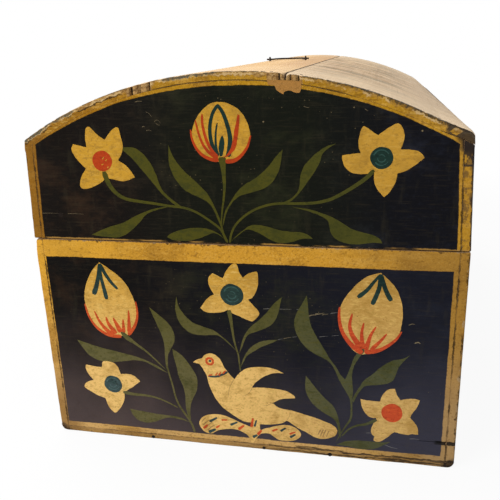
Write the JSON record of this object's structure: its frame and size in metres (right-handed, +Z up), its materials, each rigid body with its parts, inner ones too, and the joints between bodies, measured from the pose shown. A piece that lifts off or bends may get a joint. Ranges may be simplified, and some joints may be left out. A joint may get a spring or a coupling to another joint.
{
  "type": "dome-top trunk",
  "caption": "Small painted wooden trunk with a domed hinged lid, wire bail handle, wire hinges and a box lock, for papers and keepsakes.",
  "frame": {"origin": "centre of the underside of the bottom board", "axes": "+X along the trunk towards the pictured end, +Y to the back with the hinges, +Z up"},
  "size_m": [0.435, 0.2785, 0.2487],
  "materials": {
    "painted_wood": "aged dark green-black oil paint with ochre bands",
    "worn_top_wood": "worn bare board with remains of paint",
    "bare_wood": "aged unpainted board",
    "nail_iron": "dull dark hand-made nail",
    "wire_iron": "dull dark drawn wire",
    "lock_iron": "dull dark sheet iron"
  },
  "bodies": {
    "base": {"bottom_board": "bare_wood", "base_front_board": "painted_wood", "base_back_board": "painted_wood", "base_left_end_board": "painted_wood", "base_right_end_board": "painted_wood", "base_right_end_strip": "painted_wood", "base_corner_nails": "nail_iron", "bottom_nails": "nail_iron", "hinge_staple_left": "wire_iron", "hinge_staple_right": "wire_iron", "lock_case": "lock_iron", "lock_case_nails": "nail_iron", "lock_bolt_guide_left": "lock_iron", "lock_bolt_guide_right": "lock_iron", "keyhole_plate": "lock_iron", "keyhole_plate_pins": "nail_iron"},
    "lid": {"lid_front_board": "painted_wood", "lid_back_board": "painted_wood", "lid_left_end_board": "painted_wood", "lid_right_end_board": "painted_wood", "lid_top_front_board": "worn_top_wood", "lid_top_back_board": "worn_top_wood", "lid_corner_nails": "nail_iron", "lid_top_nails": "nail_iron", "hinge_eye_left": "wire_iron", "hinge_eye_right": "wire_iron", "handle_staple_front": "wire_iron", "handle_staple_back": "wire_iron", "lock_hasp": "lock_iron", "lock_hasp_nails": "nail_iron"},
    "handle": {"handle_bail": "wire_iron"},
    "bolt": {"lock_bolt": "lock_iron"}
  },
  "joints": [
    {"name": "lid_hinge", "type": "hinge", "parent": "base", "child": "lid", "pos_m": [0, 0.1387, 0.139], "axis": [-1, 0, 0], "range_deg": [0, 105]},
    {"name": "bail_swing", "type": "hinge", "parent": "lid", "child": "handle", "pos_m": [0, 0, 0.2465], "axis": [0, 1, 0], "range_deg": [0, 180]},
    {"name": "bolt_slide", "type": "slide", "parent": "base", "child": "bolt", "axis": [1, 0, 0], "range_m": [0, 0.009]}
  ]
}
